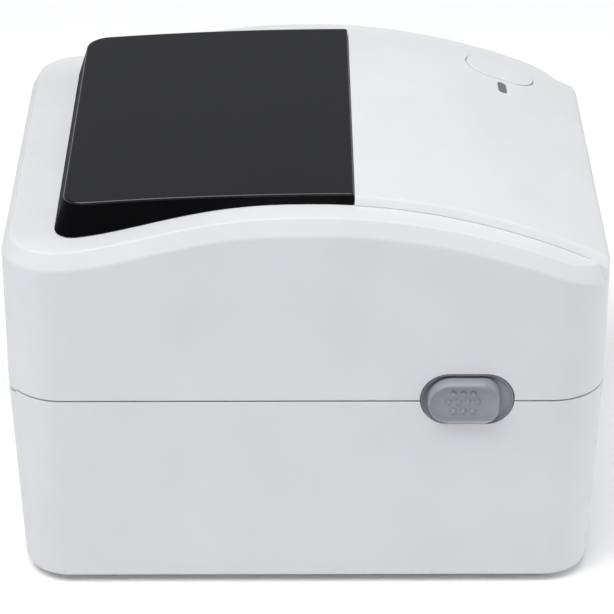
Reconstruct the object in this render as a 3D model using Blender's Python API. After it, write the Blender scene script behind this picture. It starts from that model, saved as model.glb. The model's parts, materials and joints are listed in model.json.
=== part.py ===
"""Desktop thermal label printer, as separate pieces with the moving ones placed on their joint axes.

Sizes are in millimetres and MM turns them into Blender's metres. +Z is up, the labels leave at the front
(-Y), the cover is hinged at the rear (+Y), and the origin is under the middle of the case.
"""

import math

import bmesh
import bpy
from mathutils import Vector

MM = 0.001
CLEAR = 0.3

# Case
WIDTH, DEPTH = 178.0, 217.6
HALF_X, HALF_Y = WIDTH / 2, DEPTH / 2
CORNER_R = 20.5
SEAM_Z, SEAM_GAP = 80.7, 0.6
BASE_TOP, COVER_BOTTOM = SEAM_Z - SEAM_GAP / 2, SEAM_Z + SEAM_GAP / 2
UNDERSIDE = 2.5
FLOOR_TOP = 5.0
BASE_WALL, COVER_WALL = 2.6, 2.4
BASE_TAPER = 3.1

# Cover top: a crest behind the label exit, falling to the front and easing down to a level rear rim
CREST_Y, CREST_Z = -3.0, 153.1
FRONT_FALL = 0.00227
REAR_RIM_Y, REAR_RIM_Z = 90.0, 139.4
RIM_BEVEL = ((0.0, 6.3), (0.3, 5.4), (2.75, 0.45), (3.5, 0.0))

# Raised tongue in front and black panel behind it
STEP_Y = -17.1
TONGUE_TOP_X, TONGUE_FOOT_X = 73.1, 75.4
TONGUE_HEIGHT = 2.75
TONGUE_ROUND = 2.6
PANEL_Z, PANEL_FALL = 156.5, 0.00038
PANEL_FOOT_Y, PANEL_TOP_Y = 89.9, 85.9
PANEL_CORNER = 8.5

# Hinge
HINGE_Y, HINGE_Z = 104.8, 80.65
BARREL_R, BARREL_CLEAR_R = 3.9, 4.5
BARREL_END = 80.0
KNUCKLE = (31.5, 41.5)
HINGE_PIN_R = 1.2

# Latch
RECESS_Y, RECESS_Z = -57.9, 81.3
RECESS_LENGTH, RECESS_HEIGHT = 34.0, 20.8
SLIDER_Y = (-69.6, -43.3)
SLIDER_Z = (72.4, 88.9)
SLIDER_X = (85.6, 92.0)
DISH_DEPTH = 1.8
CUP_X, CUP_WALL = (84.6, 88.9), 0.7
LATCH_SHAFT = (-62.0, 100.0)
HOOK_X = (76.0, 79.0)
STEM_Z = (79.0, 82.0)

# Feed button and its light
BUTTON_X, BUTTON_Y = 62.0, -77.0
BUTTON_SIZE = (18.0, 28.0)
LED_X = 45.3
LED_SIZE = (10.0, 3.6)

# Print mechanism
PLATEN = (-90.0, 75.5)
PLATEN_R, PLATEN_HALF = 8.0, 54.0
MOTOR = (-80.0, 32.0)
MOTOR_R = 17.5
MODULE = 1.0
MOTOR_TEETH, IDLER_TEETH, PLATEN_TEETH = 12, 30, 24
GEAR_X = (66.0, 72.0)
FRAME_X = (59.5, 62.5)
HEAD_PIVOT = (-66.0, 93.0)
HEAD_HALF = 56.0
SPRING_X, SPRING_Y = 35.0, -88.0
SPRING_Z = (88.8, 109.7)

# Media bay
TRAY_X, TRAY_Y, TRAY_Z = 62.0, (-50.0, 82.0), (20.0, 79.0)
TRAY_WALL = 2.0
ROLL = (15.0, 86.0)
HOLDER_X = (-56.0, -53.0)
GUIDE_Y = 15.0
GUIDE_TEETH = 16
RACK_Z = (14.5, 18.5)
REAR_SLOT_X, REAR_SLOT_Z = 57.0, (62.0, 68.0)

# Electronics at the rear
BOARD_Z = (9.0, 10.6)
SOCKET_Z = 16.4
JACK_X, USB_X = 28.0, -24.0
SWITCH_X, SWITCH_Z = 59.0, 24.0
ROCKER_Y = 103.9

FOOT_PLACES = {
    "front_left": (-68, -85), "front_right": (68, -85),
    "rear_left": (-68, 85), "rear_right": (68, 85),
}
SCREW_PLACES = {
    "front_left": (-52, -66), "front_right": (52, -66),
    "rear_left": (-52, 74), "rear_right": (52, 74),
}

FINISHES = {
    "white": ((0.78, 0.79, 0.81), 0.42, 0.0),
    "black_gloss": ((0.012, 0.012, 0.014), 0.22, 0.0),
    "latch_grey": ((0.38, 0.40, 0.44), 0.45, 0.0),
    "dark_plastic": ((0.035, 0.036, 0.040), 0.55, 0.0),
    "nylon": ((0.72, 0.70, 0.64), 0.5, 0.0),
    "rubber": ((0.02, 0.02, 0.02), 0.85, 0.0),
    "steel": ((0.62, 0.62, 0.63), 0.3, 1.0),
    "aluminium": ((0.75, 0.76, 0.78), 0.4, 1.0),
    "motor_can": ((0.42, 0.43, 0.45), 0.35, 1.0),
    "board": ((0.01, 0.12, 0.05), 0.5, 0.0),
    "ceramic": ((0.55, 0.56, 0.55), 0.25, 0.0),
    "smoked": ((0.06, 0.06, 0.07), 0.15, 0.0),
}

AXES = {"X": (0, 1, 2), "Y": (1, 0, 2), "Z": (2, 0, 1)}
CUT, JOIN = "DIFFERENCE", "UNION"
PIVOTS = {None: (0.0, 0.0, 0.0)}


# Shapes: each is (points, faces), in millimetres


def rim_height(y):
    """Height of the cover's top rim at depth y."""
    if y <= CREST_Y:
        return CREST_Z - FRONT_FALL * (y - CREST_Y) ** 2
    share = min(1.0, (y - CREST_Y) / (REAR_RIM_Y - CREST_Y)) ** 1.35
    eased = 3 * share**2 - 2 * share**3
    return CREST_Z - (CREST_Z - REAR_RIM_Z) * eased


def case_edge_y(x, inset=0.0):
    """How far back the case's outline reaches at x."""
    beyond = max(0.0, abs(x) - (HALF_X - CORNER_R))
    radius = CORNER_R - inset
    return HALF_Y - CORNER_R + math.sqrt(max(0.0, radius**2 - beyond**2))


def circle(u, v, radius, count=24, turn=0.0):
    steps = [turn + 2 * math.pi * i / count for i in range(count)]
    return [(u + radius * math.cos(a), v + radius * math.sin(a)) for a in steps]


def oval(u, v, size_u, size_v, count=8):
    """A slot outline: two half circles joined by straight sides."""
    radius = min(size_u, size_v) / 2
    reach_u, reach_v = size_u / 2 - radius, size_v / 2 - radius
    points = []
    for corner_u, corner_v, start in ((1, 1, 0), (-1, 1, 90), (-1, -1, 180), (1, -1, 270)):
        for i in range(count // 2 + 1):
            a = math.radians(start + 90 * i / (count // 2))
            point = (
                u + corner_u * reach_u + radius * math.cos(a),
                v + corner_v * reach_v + radius * math.sin(a),
            )
            if not points or math.dist(points[-1], point) > 0.01:
                points.append(point)
    if math.dist(points[0], points[-1]) < 0.01:
        points.pop()
    return points


def prism(outline, axis, low, high):
    along, u, v = AXES[axis]
    points = []
    for level in (low, high):
        for a, b in outline:
            point = [0.0, 0.0, 0.0]
            point[along], point[u], point[v] = level, a, b
            points.append(tuple(point))
    count = len(outline)
    faces = [tuple(range(count)), tuple(range(count, 2 * count))]
    for i in range(count):
        j = (i + 1) % count
        faces.append((i, j, count + j, count + i))
    return points, faces


def box(x, y, z):
    return prism([(x[0], y[0]), (x[1], y[0]), (x[1], y[1]), (x[0], y[1])], "Z", z[0], z[1])


def rod(axis, u, v, radius, low, high, count=24):
    return prism(circle(u, v, radius, count), axis, low, high)


def tube(axis, u, v, radius, bore, low, high, count=24):
    """A ring with an open bore, made as one closed band."""
    along, first, second = AXES[axis]
    rings = []
    for ring_radius, level in ((radius, low), (radius, high), (bore, high), (bore, low)):
        ring = []
        for a, b in circle(u, v, ring_radius, count):
            point = [0.0, 0.0, 0.0]
            point[along], point[first], point[second] = level, a, b
            ring.append(tuple(point))
        rings.append(ring)
    return loft(rings + rings[:1])


def loft(rings, ladder=False):
    """Rings of equal length joined in turn: into a loop if the last is the first, else with capped ends."""
    closed = rings[0] == rings[-1]
    if closed:
        rings = rings[:-1]
    count = len(rings[0])
    points = [point for ring in rings for point in ring]
    faces = []
    for r in range(len(rings) - (0 if closed else 1)):
        low, high = r * count, (r + 1) % len(rings) * count
        for i in range(count):
            j = (i + 1) % count
            faces.append((low + i, low + j, high + j, high + i))
    if closed:
        return points, faces
    last = (len(rings) - 1) * count
    if not ladder:
        return points, faces + [tuple(range(count)), tuple(range(last, last + count))]
    for start in (0, last):
        for i in range(count // 2 - 1):
            last_i = start + count - 1 - i
            faces.append((start + i, start + i + 1, last_i - 1, last_i))
    return points, faces


def together(*shapes):
    """Shapes that stay clear of each other, as one."""
    points, faces = [], []
    for more_points, more_faces in shapes:
        start = len(points)
        points += more_points
        faces += [tuple(start + i for i in face) for face in more_faces]
    return points, faces


def mirrored(shape):
    """The shape and its mirror image across X = 0."""
    points, faces = shape
    return together(shape, ([(-x, y, z) for x, y, z in points], faces))


def flipped(shape, side):
    """The shape itself for side 1, or its mirror image across X = 0 for side -1."""
    points, faces = shape
    return [(side * x, y, z) for x, y, z in points], faces


def turned(shape, angle, centre):
    """The shape turned about an X-wise line through centre (y, z)."""
    points, faces = shape
    c, s = math.cos(angle), math.sin(angle)
    found = []
    for x, y, z in points:
        dy, dz = y - centre[0], z - centre[1]
        found.append((x, centre[0] + c * dy - s * dz, centre[1] + s * dy + c * dz))
    return found, faces


def gear_outline(u, v, teeth, turn, module=MODULE):
    """Straight-sided teeth with play between them. One tooth points along the angle turn."""
    pitch = 2 * math.pi / teeth
    root, tip = module * (teeth / 2 - 1.2), module * (teeth / 2 + 0.85)
    points = []
    for k in range(teeth):
        middle = turn + k * pitch
        for radius, share in ((root, -0.28), (tip, -0.12), (tip, 0.12), (root, 0.28)):
            a = middle + share * pitch
            points.append((u + radius * math.cos(a), v + radius * math.sin(a)))
    return points


# Objects


def clear_scene():
    for obj in list(bpy.data.objects):
        bpy.data.objects.remove(obj, do_unlink=True)


def pivot(name, point, parent=None):
    """An empty on a joint's axis, which carries the pieces that move with it."""
    empty = bpy.data.objects.new(name, None)
    bpy.context.scene.collection.objects.link(empty)
    empty.empty_display_size = 10 * MM
    PIVOTS[name] = point
    above = Vector(PIVOTS[parent])
    empty.parent = bpy.data.objects.get(parent) if parent else None
    empty.location = (Vector(point) - above) * MM


def mesh_object(name, shape, carrier):
    """An object from a shape, with its origin on its carrier's axis."""
    origin = Vector(PIVOTS[carrier])
    bm = bmesh.new()
    points, faces = shape
    verts = [bm.verts.new((Vector(point) - origin) * MM) for point in points]
    for face in faces:
        bm.faces.new([verts[i] for i in face])
    bmesh.ops.recalc_face_normals(bm, faces=bm.faces)
    mesh = bpy.data.meshes.new(name)
    bm.to_mesh(mesh)
    bm.free()
    mesh.shade_smooth()
    mesh.set_sharp_from_angle(angle=math.radians(32))
    obj = bpy.data.objects.new(name, mesh)
    bpy.context.scene.collection.objects.link(obj)
    obj.parent = bpy.data.objects.get(carrier) if carrier else None
    return obj


def finish_material(name, finish):
    colour, roughness, metallic = FINISHES[finish]
    made = bpy.data.materials.new(f"{name} {finish}")
    made.use_nodes = True
    shader = made.node_tree.nodes["Principled BSDF"]
    shader.inputs["Base Color"].default_value = (*colour, 1.0)
    shader.inputs["Roughness"].default_value = roughness
    shader.inputs["Metallic"].default_value = metallic
    return made


def piece(name, finish, shape, *steps, on=None):
    """One piece: a first shape, then Boolean steps in order, each a (CUT or JOIN, shape) pair."""
    obj = mesh_object(name, shape, on)
    obj.data.materials.append(finish_material(name, finish))
    for number, (operation, other) in enumerate(steps, 1):
        helper = mesh_object(f"{name}_{operation.lower()}_{number}", other, on)
        helper.hide_render = True
        helper.display_type = "WIRE"
        modifier = obj.modifiers.new(helper.name, "BOOLEAN")
        modifier.operation = operation
        modifier.object = helper
        modifier.solver = "EXACT"
    return obj


# Case


def half_chain(half_x, front, rear, front_r, rear_r, sides=14, corner=6):
    """The +X half of a rounded rectangle, from its front edge round to its rear edge."""
    points = []
    for i in range(corner + 1):
        a = math.radians(-90 + 90 * i / corner)
        across, back = front_r * math.cos(a), front_r * math.sin(a)
        points.append((half_x - front_r + across, front + front_r + back))
    low, high = front + front_r, rear - rear_r
    for i in range(1, sides):
        points.append((half_x, low + (high - low) * i / sides))
    for i in range(corner + 1):
        a = math.radians(90 * i / corner)
        points.append((half_x - rear_r + rear_r * math.cos(a), rear - rear_r + rear_r * math.sin(a)))
    return points


def ring_at(chain, height):
    """A closed ring over a half chain and its mirror image, at a height given by a function of y."""
    right = [(x, y, height(y)) for x, y in chain]
    return right + [(-x, y, z) for x, y, z in reversed(right)]


def case_ring(inset, height, sides=14):
    radius, end = CORNER_R - inset, HALF_Y - inset
    return ring_at(half_chain(HALF_X - inset, -end, end, radius, radius, sides), height)


def recess_window():
    return mirrored(prism(oval(RECESS_Y, RECESS_Z, RECESS_LENGTH, RECESS_HEIGHT, 12), "X", 80, 95))


def knuckle_shape():
    """The base's hinge knuckle: a round eye on a web that stays behind the cover's swept path."""
    low, high = KNUCKLE
    foot = [(HINGE_Y - 4, 70), (HINGE_Y + 2, 70), (HINGE_Y + 2, 75.8), (HINGE_Y, 75.8)]
    eye = []
    for i in range(13):
        a = math.radians(-90 + 270 * i / 12)
        eye.append((HINGE_Y + BARREL_R * math.cos(a), HINGE_Z + BARREL_R * math.sin(a)))
    return mirrored(prism(foot + eye, "X", low, high))


def make_base_case():
    taper, wall = BASE_TAPER, BASE_WALL
    rings = [
        case_ring(taper + wall + 0.4, lambda y: FLOOR_TOP, 1),
        case_ring(wall, lambda y: BASE_TOP, 1),
        case_ring(0.0, lambda y: BASE_TOP, 1),
        case_ring(taper, lambda y: UNDERSIDE + 3.0, 1),
        case_ring(taper + 0.9, lambda y: UNDERSIDE + 0.9, 1),
        case_ring(taper + 3.0, lambda y: UNDERSIDE, 1),
    ]
    barrel_space = rod("X", HINGE_Y, HINGE_Z, BARREL_CLEAR_R, -BARREL_END - 0.6, BARREL_END + 0.6)
    rear_space = box((-80.6, 80.6), (HINGE_Y, 120), (HINGE_Z - BARREL_CLEAR_R, 90))
    rear_cuts = together(
        box((-REAR_SLOT_X, REAR_SLOT_X), (100, 112), REAR_SLOT_Z),
        rod("Y", JACK_X, SOCKET_Z, 5.0, 98, 112),
        box((USB_X - 6.5, USB_X + 6.5), (98, 112), (SOCKET_Z - 6, SOCKET_Z + 6)),
        box((SWITCH_X - 7.3, SWITCH_X + 7.3), (98, 112), (SWITCH_Z - 10.3, SWITCH_Z + 10.3)),
    )
    foot_cuts = together(*(rod("Z", x, y, 7.3, 1, 3.4) for x, y in FOOT_PLACES.values()))
    screw_cuts = together(*(rod("Z", x, y, 3.4, 1, 4.0) for x, y in SCREW_PLACES.values()))
    screw_holes = together(*(rod("Z", x, y, 1.8, 3, 7, 12) for x, y in SCREW_PLACES.values()))
    standoffs = together(*(rod("Z", x, y, 3, 4.5, 8.7, 12) for x in (-38, 38) for y in (-24, 90)))
    low, high = KNUCKLE
    pin_bores = mirrored(rod("X", HINGE_Y, HINGE_Z, HINGE_PIN_R + CLEAR, low - 1, high + 1, 12))
    return piece(
        "base_case", "white", loft(rings),
        (CUT, recess_window()), (CUT, barrel_space), (CUT, rear_space), (CUT, rear_cuts),
        (JOIN, knuckle_shape()), (CUT, pin_bores),
        (JOIN, standoffs), (CUT, foot_cuts), (CUT, screw_cuts), (CUT, screw_holes),
    )


def hinge_barrel():
    """A full-width barrel whose ends follow the case's rounded rear corners."""
    stations = [-BARREL_END, -77, -73.5, -69.5, 69.5, 73.5, 77, BARREL_END]
    rings = []
    for x in stations:
        edge = case_edge_y(x) - 0.1
        rings.append([(x, min(y, edge), z) for y, z in circle(HINGE_Y, HINGE_Z, BARREL_R, 20)])
    return loft(rings)


def tongue_shape():
    """The raised front part of the cover's top. Its front end rounds over into the front face."""
    rings = []
    bend = TONGUE_ROUND - HALF_Y
    for y in (STEP_Y, -30, -45, -60, -75, -88, -98, bend, bend - 1.1, bend - 1.9, bend - 2.35, bend - 2.52):
        past = max(0.0, bend - y)
        top = rim_height(y) + TONGUE_HEIGHT - TONGUE_ROUND + math.sqrt(TONGUE_ROUND**2 - past**2)
        low = rim_height(y) - 1.2 - 2.1 * past
        limit = HALF_X
        beyond = CORNER_R - HALF_Y - y
        if beyond > 0:
            limit += math.sqrt(max(0.0, (CORNER_R - 0.15) ** 2 - beyond**2)) - CORNER_R
        foot, crown = min(TONGUE_FOOT_X + 1.0, limit), min(TONGUE_TOP_X, limit)
        rings.append([(-foot, y, low), (foot, y, low), (crown, y, top - 0.5), (crown - 0.6, y, top),
                      (0.6 - crown, y, top), (-crown, y, top - 0.5)])
    return loft(rings)


def surface_tilt():
    """How far the cover's top leans forward at the feed button, in radians about X."""
    return math.atan(-2 * FRONT_FALL * (BUTTON_Y - CREST_Y))


def button_frame(shape):
    """Puts a shape drawn about the button's centre, with z along its travel, on the tilted cover top."""
    points, faces = shape
    top = rim_height(BUTTON_Y) + TONGUE_HEIGHT
    placed = [(BUTTON_X + x, BUTTON_Y + y, top + z) for x, y, z in points]
    return turned((placed, faces), surface_tilt(), (BUTTON_Y, top))


def make_top_cover():
    wall = COVER_WALL
    rings = [
        case_ring(5.6, lambda y: rim_height(y) - 2.9),
        case_ring(wall, lambda y: rim_height(y) - 7.0),
        case_ring(wall, lambda y: COVER_BOTTOM),
        case_ring(0.0, lambda y: COVER_BOTTOM),
    ]
    rings += [case_ring(inset, lambda y, drop=drop: rim_height(y) - drop) for inset, drop in RIM_BEVEL]
    low, high = KNUCKLE
    knuckle_space = mirrored(rod("X", HINGE_Y, HINGE_Z, 4.35, low - 0.4, high + 0.4))
    web_space = mirrored(box((low - 0.4, high + 0.4), (HINGE_Y - 4.35, HINGE_Y), (74, HINGE_Z)))
    bores = mirrored(rod("X", HINGE_Y, HINGE_Z, HINGE_PIN_R + CLEAR, low - 6, high + 6, 12))
    led = prism(oval(LED_X - BUTTON_X, 0, LED_SIZE[0] + 0.6, LED_SIZE[1] + 0.6), "Z", -12, 4)
    button = prism(oval(0, 0, BUTTON_SIZE[0] + 0.8, BUTTON_SIZE[1] + 0.8, 16), "Z", -12, 4)
    bosses = mirrored(rod("Z", 30, -70, 4.0, 113.3, 140.5, 16))
    boss_bores = mirrored(rod("Z", 30, -70, 1.7, 110, 127, 12))
    return piece(
        "top_cover", "white", loft(rings, ladder=True),
        (JOIN, hinge_barrel()), (JOIN, tongue_shape()), (CUT, recess_window()),
        (CUT, box((-57, 57), (-112, -100), (79, 86.5))),
        (CUT, knuckle_space), (CUT, web_space), (CUT, bores),
        (CUT, together(button_frame(led), button_frame(button))),
        (JOIN, bosses), (CUT, boss_bores),
        on="cover_hinge",
    )


def panel_ring(half_x, front, rear, height):
    return ring_at(half_chain(half_x, front, rear, 0.6, PANEL_CORNER, 12, 5), height)


def make_top_panel():
    def top(y):
        return PANEL_Z - PANEL_FALL * (y - STEP_Y) ** 2

    def foot(y):
        return rim_height(y) + CLEAR

    front = STEP_Y + CLEAR
    rings = [
        panel_ring(70.9, front + 2.2, PANEL_TOP_Y - 2.6, lambda y: top(y) - 2.2),
        panel_ring(73.2, front + 2.0, PANEL_FOOT_Y - 2.4, foot),
        panel_ring(TONGUE_FOOT_X, front, PANEL_FOOT_Y, foot),
        panel_ring(TONGUE_TOP_X + 0.3, front, PANEL_TOP_Y + 0.3, lambda y: top(y) - 1.0),
        panel_ring(TONGUE_TOP_X - 0.5, front + 0.4, PANEL_TOP_Y - 0.5, top),
    ]
    return piece("top_panel", "black_gloss", loft(rings, ladder=True), on="cover_hinge")


def make_feet_and_screws():
    for place, (x, y) in FOOT_PLACES.items():
        piece(f"foot_{place}", "rubber", rod("Z", x, y, 7.0, 0.0, 3.1))
    for place, (x, y) in SCREW_PLACES.items():
        piece(f"case_screw_{place}", "steel", rod("Z", x, y, 3.0, 2.7, 3.7, 16),
              (JOIN, rod("Z", x, y, 1.4, 3.2, 14, 12)),
              (CUT, prism(circle(x, y, 1.2, 6), "Z", 2, 3.4)))


def make_hinge_pins():
    low, high = KNUCKLE
    for side, label in ((-1, "left"), (1, "right")):
        pin = rod("X", HINGE_Y, HINGE_Z, HINGE_PIN_R, low - 5.5, high + 5.5, 12)
        piece(f"hinge_pin_{label}", "steel", flipped(pin, side))


# Media bay


def make_media_tray():
    x, wall = TRAY_X, TRAY_WALL
    front, rear = TRAY_Y
    low, high = TRAY_Z
    deck_r = CORNER_R - 3.4
    deck = [(-85.6, -33), (85.6, -33), (85.6, 98 - deck_r)]
    deck += [(85.6 - deck_r + deck_r * math.cos(a), 98 - deck_r + deck_r * math.sin(a))
             for a in (math.radians(15 * i) for i in range(1, 6))]
    deck += [(85.6 - deck_r, 98)]
    deck += [(-u, v) for u, v in reversed(deck[2:])]
    posts = together(*(rod("Z", u, 74, 4.0, FLOOR_TOP + CLEAR, low + 1, 12) for u in (-52, 52)))
    post_bores = together(*(rod("Z", u, 74, 1.7, 4, 16, 12) for u in (-52, 52)))
    return piece(
        "media_tray", "dark_plastic", box((-x, x), (front, rear), (low, high)),
        (JOIN, prism(deck, "Z", high - 2, high + 0.2)),
        (CUT, box((wall - x, x - wall), (front + wall, rear - wall), (low + wall, high + 5))),
        (CUT, box((-57, 57), (front - 5, front + 5), (60, high + 5))),
        (CUT, box((-REAR_SLOT_X, REAR_SLOT_X), (rear - 5, rear + 5), REAR_SLOT_Z)),
        (CUT, together(box((-60, -12), (GUIDE_Y + 6, GUIDE_Y + 16), (low - 2, low + 4)),
                       box((12, 60), (GUIDE_Y - 16, GUIDE_Y - 6), (low - 2, low + 4)))),
        (JOIN, posts), (CUT, post_bores),
    )


def rack_outline(ends):
    """A rack along X whose teeth point at Y = 0 below its pitch line, with a gap centred on X = 0."""
    pitch = math.pi * MODULE
    line = GUIDE_TEETH / 2 * MODULE
    tip, root = line - 0.85, line + 1.2
    low, high = ends
    points = [(low, line + 6), (low, root)]
    k = math.ceil((low + 9) / pitch)
    while (k + 1) * pitch < high:
        middle = (k + 0.5) * pitch
        for v, share in ((root, -0.30), (tip, -0.12), (tip, 0.12), (root, 0.30)):
            points.append((middle + share * pitch, v))
        k += 1
    return points + [(high, root), (high, line + 6)]


def holder_shapes():
    """The left roll holder: a paddle with a hub, an arm through the tray's floor and a rack under it."""
    low, high = HOLDER_X
    roll_y, roll_z = ROLL
    blade = [(roll_y + 26 * math.cos(a), roll_z + 26 * math.sin(a))
             for a in (math.radians(-40 + 260 * i / 20) for i in range(21))]
    blade += [(roll_y - 16, 22.4), (roll_y + 18, 22.4)]
    hub_ends = (high - 1, 13), (high + 8, 11)
    hub = loft([[(x, y, z) for y, z in circle(roll_y, roll_z, radius)] for x, radius in hub_ends])
    arm = box((low, high), (GUIDE_Y + 7.4, GUIDE_Y + 14.8), (RACK_Z[0], 24))
    rack = [(u, GUIDE_Y + v) for u, v in rack_outline((low, 4.0))]
    return prism(blade, "X", low, high), hub, arm, prism(rack, "Z", *RACK_Z)


def half_turn(shape):
    """The shape turned half a turn about the guide pinion's upright axis."""
    points, faces = shape
    return [(-x, 2 * GUIDE_Y - y, z) for x, y, z in points], faces


def make_roll_holders():
    blade, hub, arm, rack = holder_shapes()
    piece("roll_holder_left", "dark_plastic", blade, (JOIN, hub), (JOIN, arm), (JOIN, rack),
          on="holder_left_slide")
    right = half_turn(arm), half_turn(rack)
    piece("roll_holder_right", "dark_plastic", flipped(blade, -1), (JOIN, flipped(hub, -1)), (JOIN, right[0]),
          (JOIN, right[1]), on="holder_right_slide")
    piece("guide_pinion", "nylon", prism(gear_outline(0, GUIDE_Y, GUIDE_TEETH, math.pi / 2), "Z", *RACK_Z),
          (CUT, rod("Z", 0, GUIDE_Y, 2.3, 10, 22, 16)), on="guide_axis")
    piece("guide_pivot", "steel", rod("Z", 0, GUIDE_Y, 2.0, 12.5, 19.7, 16),
          (JOIN, rod("Z", 0, GUIDE_Y, 4.0, 12.2, 14.2, 16)))


# Print mechanism in the base


def idler_centre():
    """Where the idler meshes with the motor pinion and the platen gear, on the side away from the front."""
    near = MODULE * (MOTOR_TEETH + IDLER_TEETH) / 2
    far = MODULE * (PLATEN_TEETH + IDLER_TEETH) / 2
    apart = math.dist(MOTOR, PLATEN)
    along = (near**2 - far**2 + apart**2) / (2 * apart)
    off = math.sqrt(near**2 - along**2)
    u, v = (PLATEN[0] - MOTOR[0]) / apart, (PLATEN[1] - MOTOR[1]) / apart
    return MOTOR[0] + u * along + v * off, MOTOR[1] + v * along - u * off


def make_gears():
    idler = idler_centre()
    to_idler = math.atan2(idler[1] - MOTOR[1], idler[0] - MOTOR[0])
    to_platen = math.atan2(PLATEN[1] - idler[1], PLATEN[0] - idler[0])
    idler_pitch = 2 * math.pi / IDLER_TEETH
    idler_turn = to_idler + math.pi + idler_pitch / 2
    gap = (idler_turn + idler_pitch / 2 - to_platen) % idler_pitch
    platen_turn = to_platen + math.pi - gap * IDLER_TEETH / PLATEN_TEETH
    low, high = GEAR_X
    piece("motor_pinion", "steel", prism(gear_outline(*MOTOR, MOTOR_TEETH, to_idler), "X", low, high),
          (CUT, rod("X", *MOTOR, 2.8, 60, 80, 16)), on="motor_axis")
    piece("idler_gear", "nylon", prism(gear_outline(*idler, IDLER_TEETH, idler_turn), "X", low, high),
          (CUT, rod("X", *idler, 2.3, 60, 80, 16)), on="idler_axis")
    piece("platen_gear", "nylon", prism(gear_outline(*PLATEN, PLATEN_TEETH, platen_turn), "X", low, high),
          (CUT, rod("X", *PLATEN, 3.3, 60, 80, 16)), on="platen_axis")
    piece("idler_post", "steel", rod("X", *idler, 2.0, FRAME_X[1] + CLEAR, 74.0, 16),
          (JOIN, rod("X", *idler, 4.0, FRAME_X[1] + CLEAR, 65.5, 16)))


def make_platen():
    piece("platen_shaft", "steel", rod("X", *PLATEN, 3.0, -64.0, 73.0, 16), on="platen_axis")
    roller = tube("X", *PLATEN, PLATEN_R, 3.3, -PLATEN_HALF, PLATEN_HALF, 32)
    piece("platen_rubber", "rubber", roller, on="platen_axis")
    for side, label in ((-1, "left"), (1, "right")):
        bush = tube("X", *PLATEN, 4.7, 3.3, 58.6, 63.4, 20)
        piece(f"platen_bush_{label}", "nylon", flipped(bush, side))


def make_motor():
    y, z = MOTOR
    piece("stepper_motor", "motor_can", rod("X", y, z, MOTOR_R, 37, FRAME_X[0] - CLEAR, 32),
          (JOIN, rod("X", y, z, 5.0, 58, 62.2, 20)), (CUT, rod("X", y, z, 2.8, 42, 70, 16)),
          (CUT, together(rod("X", y - 12.5, z, 1.8, 52, 70, 12), rod("X", y + 12.5, z, 1.8, 52, 70, 12))))
    piece("motor_shaft", "steel", rod("X", y, z, 2.5, 42.5, 72.5, 16), on="motor_axis")
    for offset, label in ((-12.5, "front"), (12.5, "rear")):
        piece(f"motor_screw_{label}", "steel", rod("X", y + offset, z, 2.8, 62.8, 64.6, 16),
              (JOIN, rod("X", y + offset, z, 1.4, 53, 63.5, 12)))


def make_print_frame():
    inner, outer = FRAME_X
    y, z = MOTOR
    slots = mirrored(together(rod("X", *PLATEN, 5.0, 58, 64)))
    slot_mouths = mirrored(box((58, 64), (PLATEN[0] - 4.4, PLATEN[0] + 4.4), (PLATEN[1] + 1, 90)))
    motor_cuts = together(rod("X", y, z, 5.4, 58, 64), rod("X", y - 12.5, z, 1.8, 58, 64, 12),
                          rod("X", y + 12.5, z, 1.8, 58, 64, 12))
    bosses = mirrored(rod("Z", 52, -66, 4.0, 6, 16, 12))
    return piece(
        "print_frame", "dark_plastic", box((-outer, outer), (-101.5, -53), (FLOOR_TOP + CLEAR, 79)),
        (CUT, box((-inner, inner), (-99.5, -55), (8, 90))),
        (CUT, box((-57, 57), (-110, -97), (60, 90))),
        (CUT, box((-57, 57), (-58, -50), (60, 90))),
        (CUT, slots), (CUT, slot_mouths), (CUT, motor_cuts),
        (JOIN, bosses), (CUT, mirrored(rod("Z", 52, -66, 1.7, 4, 14.5, 12))),
    )


def make_label_guide():
    outline = [(-80.5, 74), (-80.5, 76.5), (-76, 79.2), (-58.5, 79.2),
               (-50.5, 74.5), (-50.5, 72.5), (-58, 76.5), (-72, 76.5)]
    piece("label_guide", "dark_plastic", prism(outline, "X", -56.7, 56.7),
          (CUT, box((8, 18), (-70, -62), (70, 85))))
    piece("gap_sensor", "smoked", box((8.3, 17.7), (-69.7, -62.3), (72, 78.9)))


def make_latch_catches():
    for side, label in ((-1, "left"), (1, "right")):
        flange = box((62.8, 64.3), (-62, -51), (56, 67))
        bar = box((63.5, 80), (-57, -51), (64, 67))
        lip = box((74, 80), (-57, -55.5), (61.5, 65))
        piece(f"latch_catch_{label}", "steel", flipped(flange, side),
              (JOIN, flipped(bar, side)), (JOIN, flipped(lip, side)))


# Electronics


def make_main_board():
    low, high = BOARD_Z
    buried = high - 0.5
    chips = together(
        box((-20, -6), (40, 54), (buried, 12.0)), box((10, 18), (60, 72), (buried, 12.2)),
        box((-38, -30), (-10, 20), (buried, 13.5)), box((26, 36), (-20, -2), (buried, 13.5)),
    )
    piece("main_board", "board", box((-44, 44), (-30, 96), BOARD_Z), (JOIN, chips))


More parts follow.
